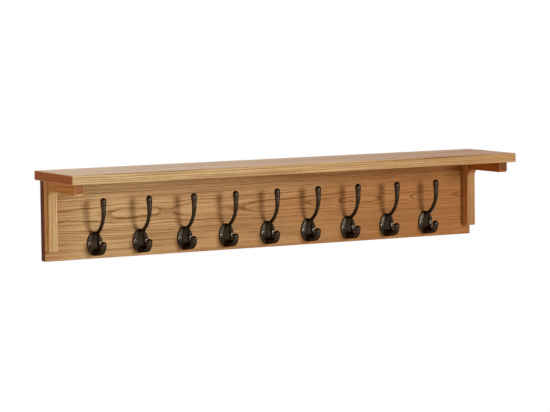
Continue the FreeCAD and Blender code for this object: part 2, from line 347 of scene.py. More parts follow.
def pith_distance(tree, place, given):
    """How far a place is from the pith, which wanders and swells."""
    wander = compute(tree, "MULTIPLY", sway(tree, place, SLOW_WANDER), given["Wander"])
    wander = compute(tree, "MULTIPLY_ADD", sway(tree, place, QUICK_WANDER), QUICK_SWING, wander)
    swell = sway(tree, place, ISLAND_SWELL, detail=1.0)
    axes = axes_of(tree, place)
    depth = compute(tree, "MULTIPLY_ADD", axes["X"], given["Pith Tilt"], axes["Y"])
    depth = compute(tree, "SUBTRACT", depth, given["Pith Depth"])
    depth = compute(tree, "ADD", depth, compute(tree, "MULTIPLY_ADD", swell, given["Islands"], wander))
    height = compute(tree, "SUBTRACT", axes["Z"], given["Pith Height"])
    height = compute(tree, "MULTIPLY_ADD", wander, UPWARD_SHARE, height)
    squares = [compute(tree, "MULTIPLY", reach, reach) for reach in (depth, height)]
    return compute(tree, "SQRT", compute(tree, "ADD", *squares))


def year_rings(tree, distance, spacing):
    """The porous wood of each year's ring, closer in bad years and paler in some."""
    inputs = {"W": compute(tree, "MULTIPLY", distance, CHANGES_PER_METRE), "Scale": 1.0, "Detail": 1.0}
    change = add(tree, "ShaderNodeTexNoise", inputs, noise_dimensions="1D").outputs["Fac"]
    turns = compute(tree, "DIVIDE", distance, spacing)
    turns = compute(tree, "MULTIPLY_ADD", change, SHIFTED_RINGS, turns)
    phase = compute(tree, "FRACT", turns)
    begun = spread(tree, phase, *POROUS_START)
    porous = compute(tree, "MULTIPLY", begun, spread(tree, phase, *POROUS_END, 1.0, 0.0))
    year = add(tree, "ShaderNodeTexWhiteNoise", {"W": compute(tree, "FLOOR", turns)}, noise_dimensions="1D")
    strength = spread(tree, year.outputs["Value"], 0.0, 1.0, PALEST_YEAR, 1.0)
    return compute(tree, "MULTIPLY", porous, strength)


def grain_streaks(tree, place):
    """Stripes along the grain, mixed of broad, middling and fine ones."""
    broad = speckle(tree, place, BROAD_STREAKS, detail=2.0, roughness=0.6)
    middle = speckle(tree, place, MIDDLE_STREAKS, detail=1.0)
    fine = speckle(tree, place, FINE_STREAKS, detail=2.0, roughness=0.6)
    streaks = compute(tree, "MULTIPLY", broad, BROAD_SHARE)
    streaks = compute(tree, "MULTIPLY_ADD", fine, FINE_SHARE, streaks)
    return compute(tree, "MULTIPLY_ADD", middle, MIDDLE_SHARE, streaks)


def oak_grain_group():
    """Oak in metres, with its grain along X: rings round a tilted pith, streaks, pores and tone."""
    if "oak_grain" in bpy.data.node_groups:
        return bpy.data.node_groups["oak_grain"]
    tree, given, result = new_group(
        "oak_grain",
        (("Vector", "Vector"), *((socket_name(field), "Float") for field in Log._fields)),
        [(socket, "Float") for socket in GRAIN_OUTPUTS],
    )
    place = given.outputs["Vector"]
    rings = year_rings(tree, pith_distance(tree, place, given.outputs), given.outputs["Ring Spacing"])
    dashes = spread(tree, speckle(tree, place, PORE_DASHES, detail=1.0), *PORE_EDGES)
    pores = compute(tree, "MULTIPLY", dashes, spread(tree, rings, *PORE_GROWTH, STRAY_PORE, 1.0))
    tone = speckle(tree, place, TONE_DRIFT, detail=2.0)
    for socket, value in zip(GRAIN_OUTPUTS, (rings, grain_streaks(tree, place), pores, tone)):
        tree.links.new(value, result.inputs[socket])
    return tree


# A plank: the axis of its grain, its place in its log, where along the rack it turns redder, the colour of
# its ends, how strong its marks are, how red its left end is, the painted light and shade on its flanks
# and its top's polish
Plank = namedtuple(
    "Plank", "grain shift log warmth end contrast left_end flank polish", defaults=(1.0, 0.0, None, 0.0),
)

BOARD_OAK = Plank(
    grain="X", shift=(0.0, 0.0, 0.0), warmth=(-0.75, 0.5), end=(0.19, 0.046, 0.009), contrast=1.08,
    left_end=0.7,
    log=Log(
        pith_depth=0.004, pith_height=0.006, pith_tilt=0.016,
        islands=0.012, ring_spacing=0.0034, wander=0.006,
    ),
)
SHELF_OAK = Plank(
    grain="X", shift=(0.6, 0.05, 0.3), warmth=(-0.5, 1.2), end=(0.42, 0.138, 0.032), polish=0.34,
    log=Log(
        pith_depth=-0.12, pith_height=0.42, pith_tilt=0.02,
        islands=0.0, ring_spacing=0.0040, wander=0.008,
    ),
)
LEG_OAK = Plank(
    grain="Z", shift=(0.1, 0.2, 0.4), warmth=(-0.7, 1.2), end=(0.30, 0.11, 0.035), contrast=0.95,
    # Painted light: the flanks are paler and warmer than the front
    flank=(1.25, 1.17, 0.90),
    log=Log(
        pith_depth=0.03, pith_height=0.24, pith_tilt=0.01,
        islands=0.0, ring_spacing=0.0030, wander=0.004,
    ),
)
ARM_OAK = Plank(
    grain="Y", shift=(0.3, 0.1, 0.2), warmth=(-0.5, 0.40), end=(0.285, 0.088, 0.024), contrast=0.6,
    # Painted shade: the flanks are darker and redder than the front
    flank=(1.06, 0.87, 0.52),
    log=Log(
        pith_depth=0.02, pith_height=0.11, pith_tilt=0.01,
        islands=0.0, ring_spacing=0.0022, wander=0.003,
    ),
)

# Turns that lay the grain of a plank along the log's X
TURNS = {"X": (0.0, 0.0, 0.0), "Y": (0.0, 0.0, -math.pi / 2), "Z": (0.0, math.pi / 2, 0.0)}

# How far the border of the red wood drifts along the rack with the tone of the grain
RED_DRIFT = 0.5

# Places along the rack between which the red of the left end and the polish of the top fade
LEFT_END = (-0.50, -0.34)
POLISH_FADE = (-0.5, 0.45)

# How squarely a face looks along its grain, to either side or up before it counts as an end, as one of the
# flanks that get painted light and shade, or as the top
END_FACING = (0.88, 0.98)
PAINTED_FLANK_FACING = (0.6, 0.8)
TOP_FACING = (0.7, 0.95)

# How strongly rings, stripes and pores darken the wood, and where in the streaks a stripe lies
RING_SHADE = 0.72
STRIPE_SHADE = 0.5
STRIPE_EDGES = (0.38, 0.64)
PORE_SHADE = 0.7

# How much light of the dark grain is left in a pore
PORE_LIGHT = 0.35

# Ends: how much light is left where the wood is reddest, and how much of the marks shows
RED_END_LIGHT = 0.55
END_MARKS = 0.5

# Polish at the left and at the right, as shares of a plank's polish
POLISH_LEFT, POLISH_RIGHT = 1.6, 0.55

# Oil: how much it reflects, how far its roughness goes below and above the oak's own, and what a pore adds
OIL_REFLECTION = 0.04
OAK_SMOOTHER, OAK_ROUGHER = 0.05, 0.08
PORE_ROUGHNESS = 0.25

# How much of the streaks stands up beside the depth of the pores
STREAK_RELIEF = 0.35


def oak_grain(tree, place, plank):
    """The outputs of the grain group for a plank."""
    inputs = {"Vector": place, "Location": plank.shift, "Rotation": TURNS[plank.grain]}
    values = {socket_name(field): value for field, value in plank.log._asdict().items()}
    values["Vector"] = add(tree, "ShaderNodeMapping", inputs).outputs[0]
    return add(tree, "ShaderNodeGroup", values, node_tree=oak_grain_group()).outputs


def redness(tree, along, tone, plank):
    """How red the wood is: more so to the right, with an uneven border, and at the left end."""
    drift = compute(tree, "MULTIPLY_ADD", compute(tree, "SUBTRACT", tone, 0.5), RED_DRIFT, along)
    left = spread(tree, along, *LEFT_END, plank.left_end, 0.0)
    return compute(tree, "MAXIMUM", spread(tree, drift, *plank.warmth), left)


def oak_material(name, plank):
    """The oiled oak of one plank: its grain, its cut ends, painted light and shade on its flanks, and its
    top.
    """
    oak = settings("rack_oak")
    gloss = {"Specular_IOR_Level": OIL_REFLECTION, "Coat_Roughness": oak.roughness}
    material, tree, shader, place = fresh_material(name, **gloss)
    along = axes_of(tree, place)["X"]
    facing = axes_of(tree, add(tree, "ShaderNodeNewGeometry").outputs["Normal"])
    rings, streaks, pores, tone = oak_grain(tree, place, plank)
    red = redness(tree, along, tone, plank)
    stripes = compute(tree, "MULTIPLY", spread(tree, streaks, *STRIPE_EDGES), STRIPE_SHADE * plank.contrast)
    marks = compute(tree, "MULTIPLY_ADD", rings, RING_SHADE * plank.contrast, stripes)
    wood = tint(tree, marks, tint(tree, red, oak.pale, oak.warm), oak.dark)
    wood = tint(tree, compute(tree, "MULTIPLY", pores, PORE_SHADE), wood, darker(oak.dark, PORE_LIGHT))
    # Painted light and shade: faces that look along X are tinted for the light that falls on them
    if plank.flank:
        painted_flank_mask = spread(tree, compute(tree, "ABSOLUTE", facing["X"]), *PAINTED_FLANK_FACING)
        wood = tint(tree, painted_flank_mask, wood, plank.flank, "MULTIPLY")
    end = tint(tree, red, plank.end, darker(plank.end, RED_END_LIGHT))
    end = tint(tree, compute(tree, "MULTIPLY", marks, END_MARKS), end, oak.dark, "MULTIPLY")
    across = spread(tree, compute(tree, "ABSOLUTE", facing[plank.grain]), *END_FACING)
    paint(tree, shader, tint(tree, across, wood, end))
    rough = spread(tree, streaks, *NOISE_RANGE, oak.roughness - OAK_SMOOTHER, oak.roughness + OAK_ROUGHER)
    tree.links.new(compute(tree, "MULTIPLY_ADD", pores, PORE_ROUGHNESS, rough), shader.inputs["Roughness"])
    if plank.polish:
        left, right = POLISH_LEFT * plank.polish, POLISH_RIGHT * plank.polish
        shine = spread(tree, along, *POLISH_FADE, left, right)
        shine = compute(tree, "MULTIPLY", spread(tree, facing["Z"], *TOP_FACING), shine)
        tree.links.new(shine, shader.inputs["Coat Weight"])
    relief = compute(tree, "SUBTRACT", compute(tree, "MULTIPLY", streaks, STREAK_RELIEF), pores)
    bump(tree, shader, relief, distance=0.00012, strength=0.8)
    return material


# Metals, painted recess shade and beech

# Worn corners: how pointed Blender calls a flat face, the patches in which corners wear and the heights of
# their noise, and the wear that is left between them
FLAT_POINTEDNESS = 0.5
WEAR_PATCHES = even(160.0)
WEAR_EDGES = (0.35, 0.65)
LEAST_WEAR = 0.4


def edge_wear_group():
    """Where the corners of a piece are rubbed: 1 on a worn corner and 0 elsewhere."""
    if "edge_wear" in bpy.data.node_groups:
        return bpy.data.node_groups["edge_wear"]
    tree, given, result = new_group(
        "edge_wear",
        (("Vector", "Vector"), ("Sharpness", "Float")),
        (("Wear", "Float"),),
    )
    corner = add(tree, "ShaderNodeNewGeometry").outputs["Pointiness"]
    sharp = compute(tree, "ADD", given.outputs["Sharpness"], FLAT_POINTEDNESS)
    patch = speckle(tree, given.outputs["Vector"], WEAR_PATCHES, detail=3.0)
    patchy = spread(tree, patch, *WEAR_EDGES, LEAST_WEAR, 1.0)
    wear = compute(tree, "MULTIPLY", spread(tree, corner, FLAT_POINTEDNESS, sharp), patchy)
    tree.links.new(wear, result.inputs["Wear"])
    return tree


# Iron: its mottle, the skin that the sand leaves, its tint at a glance, and how sharp a fully worn corner is
IRON_MOTTLE = even(140.0)
IRON_SAND = even(1100.0)
IRON_GLANCE = (0.4, 0.34, 0.28, 1.0)
WORN_SHARPNESS = 0.06

# Places in front of the wall between which the casting is rubbed: most at the tips and not on the plates
RUBBED_DEPTHS = (-0.060, -0.042)
RUBBED_MOST = 0.9

# Heights of the mottle between which the iron turns brown, and how brown it gets
BROWN_PATCHES = (0.5, 0.75)
BROWN_MOST = 0.55

# How far the iron's roughness goes below and above its own, and how much mottle and sand stand up
IRON_SMOOTHER, IRON_ROUGHER = 0.06, 0.08
MOTTLE_RELIEF, SAND_RELIEF = 0.8, 0.25


def iron_material():
    """Blackened cast iron, a little brown where it is rubbed, with the skin of a sand casting."""
    iron = settings("rack_iron")
    material, tree, shader, place = fresh_material("cast_iron", Metallic=1.0, Specular_Tint=IRON_GLANCE)
    mottle = speckle(tree, place, IRON_MOTTLE, detail=4.0)
    sand = speckle(tree, place, IRON_SAND, detail=3.0)
    edges = {"Vector": place, "Sharpness": WORN_SHARPNESS}
    wear = add(tree, "ShaderNodeGroup", edges, node_tree=edge_wear_group()).outputs["Wear"]
    reached = spread(tree, axes_of(tree, place)["Y"], *RUBBED_DEPTHS, RUBBED_MOST, 0.0)
    brown = spread(tree, mottle, *BROWN_PATCHES, 0.0, BROWN_MOST)
    brown = compute(tree, "MAXIMUM", compute(tree, "MULTIPLY", wear, reached), brown)
    paint(tree, shader, tint(tree, brown, iron.base, iron.worn))
    roughen(tree, shader, mottle, iron.roughness - IRON_SMOOTHER, iron.roughness + IRON_ROUGHER)
    relief = compute(tree, "MULTIPLY", sand, SAND_RELIEF)
    relief = compute(tree, "MULTIPLY_ADD", mottle, MOTTLE_RELIEF, relief)
    bump(tree, shader, relief, distance=0.0003, strength=0.5)
    return material


# A plating: its colour and roughness, its clouds to a metre, and how strongly the flakes of its zinc show
Plating = namedtuple("Plating", "base roughness clouds flakes")

NICKEL = Plating(base=(0.38, 0.31, 0.21), roughness=0.42, clouds=300.0, flakes=0.0)
STEEL = Plating(base=(0.62, 0.62, 0.61), roughness=0.34, clouds=260.0, flakes=0.3)
ZINC = Plating(base=(0.60, 0.61, 0.61), roughness=0.38, clouds=120.0, flakes=0.5)

# Heights of the clouds between which a plating dulls, and the light that is left where it is dull
CLOUD_EDGES = (0.35, 0.7)
DULL_LIGHT = 0.72

# For each cloud: scuffs along X and across it, and flakes
SCUFFS_ALONG, SCUFFS_ACROSS = 2, 14
FLAKES_PER_CLOUD = 2

# Roughness of a plating where it is smoothest and roughest, as shares of its own
SMOOTHEST, ROUGHEST = 0.7, 1.4


def plated_material(name, plating):
    """Plated steel: cloudy patches, fine scuffs and, where it has them, the flakes of its zinc."""
    material, tree, shader, place = fresh_material(name, Metallic=1.0)
    along, across = plating.clouds * SCUFFS_ALONG, plating.clouds * SCUFFS_ACROSS
    cloud = speckle(tree, place, even(plating.clouds), detail=4.0, roughness=0.6)
    scuff = speckle(tree, place, (along, across, across), detail=3.0)
    dull = darker(plating.base, DULL_LIGHT)
    metal = tint(tree, spread(tree, cloud, *CLOUD_EDGES), plating.base, dull)
    if plating.flakes:
        inputs = {"Vector": place, "Scale": plating.clouds * FLAKES_PER_CLOUD}
        cells = add(tree, "ShaderNodeTexVoronoi", inputs, feature="F1").outputs["Color"]
        spark = add(tree, "ShaderNodeSeparateColor", {0: cells}).outputs[0]
        metal = tint(tree, compute(tree, "MULTIPLY", spark, plating.flakes), metal, dull)
    paint(tree, shader, metal)
    roughen(tree, shader, scuff, plating.roughness * SMOOTHEST, plating.roughness * ROUGHEST)
    bump(tree, shader, scuff, distance=0.00003, strength=0.5)
    return material


# Painted shade in screw recesses: its blotches, its darkest and palest colour, and its roughness
RECESS_SHADE_BLOTCHES = even(900.0)
RECESS_SHADE_DARK = (0.012, 0.010, 0.008)
RECESS_SHADE_PALE = (0.05, 0.045, 0.04)
RECESS_SHADE_ROUGHNESS = (0.6, 0.9)


def painted_recess_shade_material():
    """Painted shade in the bottom of a recess, dark and blotchy."""
    material, tree, shader, place = fresh_material("painted_recess_shade")
    blotch = speckle(tree, place, RECESS_SHADE_BLOTCHES, detail=3.0)
    paint(tree, shader, tint(tree, blotch, RECESS_SHADE_DARK, RECESS_SHADE_PALE))
    tree.links.new(spread(tree, blotch, 0.2, 0.8, *RECESS_SHADE_ROUGHNESS), shader.inputs["Roughness"])
    bump(tree, shader, blotch, distance=0.0001, strength=0.5)
    return material


# Beech: its fibres and flecks, both long along Z, its colours and its roughness
BEECH_FIBRES = (700.0, 700.0, 30.0)
BEECH_FLECKS = (1500.0, 1500.0, 260.0)
BEECH_PALE = (0.62, 0.42, 0.25)
BEECH_DEEP = (0.50, 0.31, 0.17)
BEECH_DARK = (0.30, 0.15, 0.07)
BEECH_ROUGHNESS = (0.5, 0.7)

# Heights of the flecks' noise between which one shows, and how strongly it does
FLECK_EDGES = (0.6, 0.7)
FLECK_MOST = 0.6


def beech_material():
    """Bare beech with its short flecks along the peg."""
    material, tree, shader, place = fresh_material("beech")
    fibre = speckle(tree, place, BEECH_FIBRES, detail=3.0)
    fleck = speckle(tree, place, BEECH_FLECKS, detail=1.0)
    wood = tint(tree, fibre, BEECH_PALE, BEECH_DEEP)
    wood = tint(tree, spread(tree, fleck, *FLECK_EDGES, 0.0, FLECK_MOST), wood, BEECH_DARK)
    paint(tree, shader, wood)
    roughen(tree, shader, fibre, *BEECH_ROUGHNESS)
    bump(tree, shader, fibre, distance=0.0001, strength=0.5)
    return material


# Meshes

def ring(bm, centre, direction, width, height=None, sides=28, ridge=0.0):
    """A closed ring of edges square to a direction, with its width along X.

    A ridge of 0 leaves it round and a ridge of 1 makes it a diamond.
    """
    across = direction.cross(EAST).normalized()
    turn = Matrix((EAST, across, direction)).transposed().to_4x4()
    made = bmesh.ops.create_circle(bm, cap_ends=False, segments=sides, radius=0.5)
    for vert in made["verts"]:
        vert.co *= 1 - ridge + ridge * 0.5 / (abs(vert.co.x) + abs(vert.co.y))
    stretch = Matrix.Diagonal((width, height or width, 1.0, 1.0))
    bmesh.ops.transform(bm, matrix=Matrix.Translation(centre) @ turn @ stretch, verts=made["verts"])
    return list({edge for vert in made["verts"] for edge in vert.link_edges})


def skin(bm, rings):
    """Close a row of rings into one solid."""
    for near, far in zip(rings, rings[1:]):
        bmesh.ops.bridge_loops(bm, edges=near + far)
    for end in (rings[0], rings[-1]):
        bmesh.ops.contextual_create(bm, geom=end)


def to_object(bm, name, smooth_below=None):
    """A bmesh as an object at the origin, its shading smooth where its faces meet at less than an angle."""
    bmesh.ops.recalc_face_normals(bm, faces=bm.faces)
    mesh = bpy.data.meshes.new(name)
    bm.to_mesh(mesh)
    bm.free()
    if smooth_below is not None:
        shade(mesh, smooth_below)
    piece = bpy.data.objects.new(name, mesh)
    bpy.context.collection.objects.link(piece)
    return piece


def shade(mesh, smooth_below):
    """Smooth shading, but for the edges that are sharper than an angle."""
    for polygon in mesh.polygons:
        polygon.use_smooth = True
    mesh.set_sharp_from_angle(angle=smooth_below)


def settle(piece):
    """Turn a piece's modifiers into its mesh."""
    graph = bpy.context.evaluated_depsgraph_get()
    made = bpy.data.meshes.new_from_object(piece.evaluated_get(graph))
    piece.modifiers.clear()
    old, piece.data = piece.data, made
    made.name = piece.name
    bpy.data.meshes.remove(old)


def carve(piece, tool):
    """Cut a tool out of a piece and throw the tool away."""
    cut = piece.modifiers.new("cut", "BOOLEAN")
    cut.operation = "DIFFERENCE"
    cut.solver = "EXACT"
    cut.object = tool
    settle(piece)
    bpy.data.objects.remove(tool)


def seat(piece, nodes, materials):
    """Hand a finished piece to the frame in place of its fixed nodes."""
    for material in materials:
        piece.data.materials.append(material)
    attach(piece, "root")
    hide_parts(*nodes)


def dress(node, material):
    """Give a fixed node its finish."""
    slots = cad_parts[node].material_slots
    for slot in slots:
        slot.link = "OBJECT"
        slot.material = material


# Hook castings, drawn round the middle of the plate's flat back

Prong = namedtuple("Prong", "root_height slope bend_radius reach rise lean widths heights")

# Widths and heights stand at the root, in the flare, at the bend's start, middle and end and at the tip
UPPER_PRONG = Prong(
    root_height=0.013, slope=31.0, bend_radius=0.049, reach=0.0432, rise=0.0852, lean=-2.0,
    widths=(0.0090, 0.0074, 0.0066, 0.0069, 0.0093, 0.0119),
    heights=(0.0090, 0.0080, 0.0072, 0.0069, 0.0093, 0.0119),
)
LOWER_PRONG = Prong(
    root_height=-0.0165, slope=4.0, bend_radius=0.0122, reach=0.0402, rise=0.0006, lean=0.0,
    widths=(0.0150, 0.0140, 0.0124, 0.0114, 0.0116, 0.0126),
    heights=(0.0150, 0.0128, 0.0112, 0.0104, 0.0110, 0.0126),
)

# Spine: where it leaves the prongs, how far it bows towards the plate, its girths, its rings and its ridge
SPINE_REACHES = (0.0205, 0.0150)
SPINE_BOWS = (0.0200, 0.0150)
SPINE_WIDTHS = (0.0068, 0.0128, 0.0176, 0.0196, 0.0160)
SPINE_HEIGHTS = (0.0072, 0.0104, 0.0132, 0.0132, 0.0112)
SPINE_STEPS = 28
SPINE_RIDGE = 0.95

# Prongs: the distance between their rings, where the flare ends on the way to the bend, and a tip's rings
PRONG_STEP = 0.0015
FLARE_SHARE = 0.62
TIP_RINGS = 7

# Plate: its sides, how far it goes into the board before it is cut flat, and the rounding of its rim
PLATE_SIDES = 72
PLATE_SUNK = 0.001
RIM_DEPTH = 0.0006
RIM_INSET = 0.0004

# Crown of the plate: its rings, the shares of width and height that it loses, and how late the height goes
CROWN_RINGS = 9
CROWN_NARROWING = 0.9
CROWN_SHORTENING = 0.5
CROWN_DELAY = 1.4

# Screw seats: the gaps round head and shank, how much wider they open in front, and their reach from the rim
HEAD_GAP = 0.0002
SHANK_GAP = 0.0003
SEAT_FLARE = 0.001
SEAT_FRONT = 0.006
SEAT_BACK = 0.012


def plate_rings(bm):
    """The oval plate: an upright edge and two slopes that meet in an upright ridge."""
    hook = settings("rack_hook")
    width, height, rim = plate_width(), hook.plate_height, hook.plate_rim
    rings = [
        ring(bm, INWARD * PLATE_SUNK, OUTWARD, width, height, PLATE_SIDES),
        ring(bm, OUTWARD * (rim - RIM_DEPTH), OUTWARD, width, height, PLATE_SIDES),
        ring(bm, OUTWARD * rim, OUTWARD, width - 2 * RIM_INSET, height - 2 * RIM_INSET, PLATE_SIDES),
    ]
    for index in range(1, CROWN_RINGS + 1):
        share = index / CROWN_RINGS
        wide = width * (1 - CROWN_NARROWING * share)
        high = height * (1 - CROWN_SHORTENING * share ** CROWN_DELAY)
        level = OUTWARD * (rim + hook.plate_crown * share)
        rings.append(ring(bm, level, OUTWARD, wide, high, PLATE_SIDES))
    skin(bm, rings)


def prong_course(root, tip, slope, lean, bend_radius):
    """A path from root to tip as a function of distance, its length, and where its bend starts and ends."""
    rising = Vector((0, -math.cos(slope), math.sin(slope)))
    standing = Vector((0, -math.sin(lean), math.cos(lean)))
    corner = root + rising * ((tip - root).cross(standing).x / rising.cross(standing).x)
    turn = rising.angle(standing)
    reach = bend_radius * math.tan(turn / 2)
    start = (corner - root).length - reach
    end = start + bend_radius * turn
    pivot = root + rising * start + rising.cross(EAST) * bend_radius
    whole = end + (tip - corner).length - reach

    def at(distance):
        """The place and the direction at a distance from the root."""
        if distance <= start:
            return root + rising * distance, rising
        if distance >= end:
            return tip - standing * (whole - distance), standing
        swing = Matrix.Rotation(-(distance - start) / bend_radius, 3, EAST)
        return pivot + swing @ (root + rising * start - pivot), swing @ rising

    return at, whole, start, end


def between(stations, distance):
    """A girth at a distance, eased between the stations given as pairs of distance and girth."""
    for (near, first), (far, second) in zip(stations, stations[1:]):
        if distance <= far:
            share = max(0.0, (distance - near) / (far - near))
            return first + (second - first) * share * share * (3 - 2 * share)
    return stations[-1][1]


def course_of(prong):
    """The path of a prong, from the middle of its root on the board."""
    return prong_course(
        Vector((0, 0, prong.root_height)), Vector((0, -prong.reach, prong.rise)),
        math.radians(prong.slope), math.radians(prong.lean), prong.bend_radius,
    )


def prong_rings(bm, prong):
    """A prong from the plate round its bend to a rounded end."""
    at, whole, start, end = course_of(prong)
    places = (0.0, start * FLARE_SHARE, start, (start + end) / 2, end, whole)
    widths, heights = list(zip(places, prong.widths)), list(zip(places, prong.heights))
    count = math.ceil(whole / PRONG_STEP)
    rings = []
    for index in range(count + 1):
        distance = whole * index / count
        rings.append(ring(bm, *at(distance), between(widths, distance), between(heights, distance)))
    tip, direction = at(whole)
    girth = prong.widths[-1]
    for index in range(1, TIP_RINGS):
        climb = math.pi / 2 * index / TIP_RINGS
        centre = tip + direction * (girth / 2 * math.sin(climb))
        rings.append(ring(bm, centre, direction, girth * math.cos(climb)))
    skin(bm, rings)


def spine_rings(bm):
    """The spine that runs down the plate from the upper prong and swings out into the lower one."""
    (high, rising), (low, leaving) = (
        course_of(prong)[0](reach) for prong, reach in zip((UPPER_PRONG, LOWER_PRONG), SPINE_REACHES)
    )
    knots = (high, high - rising * SPINE_BOWS[0], low - leaving * SPINE_BOWS[1], low)
    line = interpolate_bezier(*knots, SPINE_STEPS)
    shares = [index / (len(SPINE_WIDTHS) - 1) for index in range(len(SPINE_WIDTHS))]
    widths, heights = list(zip(shares, SPINE_WIDTHS)), list(zip(shares, SPINE_HEIGHTS))
    rings = []
    for index, place in enumerate(line):
        behind, ahead = line[max(index - 1, 0)], line[min(index + 1, SPINE_STEPS - 1)]
        share = index / (SPINE_STEPS - 1)
        girths = between(widths, share), between(heights, share)
        rings.append(ring(bm, place, (ahead - behind).normalized(), *girths, ridge=SPINE_RIDGE))
    skin(bm, rings)


def hook_casting():
    """One hook, melted together from its plate, its prongs and its spine, with seats for its screws."""
    hook = settings("rack_hook")
    bm = bmesh.new()
    plate_rings(bm)
    prong_rings(bm, UPPER_PRONG)
    prong_rings(bm, LOWER_PRONG)
    spine_rings(bm)
    casting = to_object(bm, "hook_casting")
    melt = casting.modifiers.new("melt", "REMESH")
    melt.mode = "VOXEL"
    melt.voxel_size = hook.grid
    soften = casting.modifiers.new("soften", "SMOOTH")
    soften.iterations = hook.smoothing
    settle(casting)
    carve(casting, wall_block())
    for side in (-1, 1):
        carve(casting, screw_seat_tool(Vector((side * hook.screw_spacing / 2, -hook.screw_seat, 0))))
    shade(casting.data, smooth_below=math.radians(38))
    return casting


def wall_block():
    """What lies behind the flat back of a hook."""
    size = 0.2
    bm = bmesh.new()
    bmesh.ops.create_cube(bm, size=size)
    bmesh.ops.translate(bm, verts=bm.verts, vec=INWARD * (size / 2))
    return to_object(bm, "wall_block")


def screw_seat_tool(rim):
    """The countersink for a screw head and the hole for its shank, open to the front."""
    mouth, hole = HOOK_SCREW.head + HEAD_GAP, HOOK_SCREW.shank + SHANK_GAP
    sink = (mouth - HOOK_SCREW.shank) / 2
    bm = bmesh.new()
    skin(bm, [
        ring(bm, rim + OUTWARD * SEAT_FRONT, OUTWARD, mouth + SEAT_FLARE),
        ring(bm, rim, OUTWARD, mouth),
        ring(bm, rim + INWARD * sink, OUTWARD, hole),
        ring(bm, rim + INWARD * SEAT_BACK, OUTWARD, hole),
    ])
    return to_object(bm, "screw_seat_tool")


# Screws

Screw = namedtuple("Screw", "length shank head crown recess")

HOOK_SCREW = Screw(length=0.015, shank=0.0036, head=0.0072, crown=0.0011, recess=0.0038)
HANGER_SCREW = Screw(length=0.012, shank=0.0030, head=0.0058, crown=0.00025, recess=0.0034)
BRACKET_SCREW = Screw(length=0.032, shank=0.0040, head=0.0080, crown=0.0003, recess=0.0044)

# A head from its middle outwards, as shares of its radius and its crown: a dish and a raised rim
DISH = 0.68
HEAD_PROFILE = ((0.0, 0.6), (DISH, 0.62), (0.73, 1.0), (0.82, 0.97), (0.90, 0.82), (0.97, 0.45))

# Edge of a head: how far under the rim it starts and ends, how wide it ends, and how deep its neck goes
EDGE_START = 0.00005
EDGE_END = 0.0003
EDGE_SHARE = 0.98
NECK_DEPTH = 0.0002

# Thread: its root and its pitch as shares of the shank's radius and width, and the plain share of a screw
THREAD_ROOT = 0.72
THREAD_PITCH = 0.45
PLAIN_SHARE = 0.35

# How far before the point the thread ends and the taper starts, in radii of the shank
THREAD_STOP, TAPER_START = 4, 3

# One turn of a thread as shares of its pitch: where its root starts and ends, and where it is full again
ROOT_START, ROOT_END, CREST = 0.3, 0.6, 0.95

# Recess: its blades and its depth as shares of its width, its taper, and how far its tool stands proud
BLADE_SHARE = 0.42
RECESS_DEPTH = 0.5
RECESS_TAPER = 0.55
RECESS_PROUD = 0.0002

# How each screw of a row is turned: by an angle more than the one before it, and by its place
SCREW_TURN = math.radians(37)
TURN_PER_METRE = 40

# Points of a screw closer than this are one
MERGE_DISTANCE = 0.000002

# Sides of a turned screw
SCREW_SIDES = 40

# Material slot of a screw that holds the painted shade in its recess, after the one that holds its plating
RECESS = 1


def screw_profile(screw):
    """Half the outline of a screw, from the middle of its head to its point."""
    head, shank = screw.head / 2, screw.shank / 2
    root, pitch = shank * THREAD_ROOT, screw.shank * THREAD_PITCH
    plain = screw.length * PLAIN_SHARE
    profile = [(head * out, screw.crown * up) for out, up in HEAD_PROFILE]
    profile += [(head, -EDGE_START), (head * EDGE_SHARE, -EDGE_END)]
    profile += [(shank, shank - head - NECK_DEPTH), (shank, -plain)]
    level = plain
    while level < screw.length - shank * THREAD_STOP:
        profile += [(root, -level - pitch * ROOT_START), (root, -level - pitch * ROOT_END)]
        profile.append((shank, -level - pitch * CREST))
        level += pitch
    return profile + [(root, -screw.length + shank * TAPER_START), (0.0, -screw.length)]


def screw_body(screw, name, metal, recess_shade):
    """A cross-head wood screw along -Z with the rim of its head in the plane Z = 0."""
    bm = bmesh.new()
    verts = [bm.verts.new((radius, 0, height)) for radius, height in screw_profile(screw)]
    edges = [bm.edges.new(pair) for pair in zip(verts, verts[1:])]
    bmesh.ops.spin(
        bm, geom=verts + edges, cent=(0, 0, 0), axis=UP, angle=math.tau, steps=SCREW_SIDES, use_merge=True,
    )
    bmesh.ops.remove_doubles(bm, verts=bm.verts, dist=MERGE_DISTANCE)
    # The dish in the middle of the head gets painted shade
    for face in bm.faces:
        middle = face.calc_center_median()
        if middle.z > 0 and math.hypot(middle.x, middle.y) < screw.head / 2 * DISH:
            face.material_index = RECESS
    body, tool = to_object(bm, name), recess_tool(screw)
    for piece in (body, tool):
        piece.data.materials.append(metal)
        piece.data.materials.append(recess_shade)
    carve(body, tool)
    return body


def recess_tool(screw):
    """A tapered cross that stands in a screw head."""
    arm, blade, depth = screw.recess / 2, screw.recess * BLADE_SHARE, screw.recess * RECESS_DEPTH
    bm = bmesh.new()
    bmesh.ops.create_cube(bm, size=blade)
    sides = [face for face in bm.faces if abs(face.normal.z) < 0.5]
    for face in bmesh.ops.extrude_discrete_faces(bm, faces=sides)["faces"]:
        bmesh.ops.translate(bm, verts=face.verts, vec=face.normal * (arm - blade / 2))
    bmesh.ops.remove_doubles(bm, verts=bm.verts, dist=MERGE_DISTANCE)
    for vert in bm.verts:
        if vert.co.z < 0:
            vert.co = Vector((vert.co.x * RECESS_TAPER, vert.co.y * RECESS_TAPER, -depth))
        else:
            vert.co.z = screw.crown + RECESS_PROUD
    # The cross recess gets painted shade
    for face in bm.faces:
        face.material_index = RECESS
    return to_object(bm, "recess_tool")


